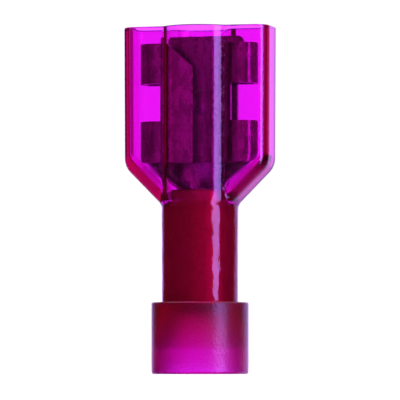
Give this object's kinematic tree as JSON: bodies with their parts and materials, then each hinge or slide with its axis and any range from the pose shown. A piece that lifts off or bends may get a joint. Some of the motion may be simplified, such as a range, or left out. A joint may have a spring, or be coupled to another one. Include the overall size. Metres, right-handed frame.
{
  "type": "female spade terminal",
  "caption": "Fully insulated crimp-on female spade terminal: folded receptacle for a flat blade in a translucent nylon housing with a wire collar.",
  "frame": {"origin": "centre of the collar's end face, where the terminal stands upright", "axes": "+Z along the terminal from the wire entry to the mouth, X across the wide way of the mouth, Y across its thin way with the receptacle's base towards +Y"},
  "size_m": [0.0094, 0.006, 0.0218],
  "materials": {
    "nylon": "translucent magenta nylon, glossy, a little cloudy where it is thick",
    "tinned_brass": "bright tin plate on sheet brass, with fine rolling marks",
    "sleeve_brass": "plain drawn brass"
  },
  "bodies": {
    "root": {"housing": "nylon", "receptacle_terminal": "tinned_brass", "crimp_sleeve": "sleeve_brass"}
  },
  "joints": []
}
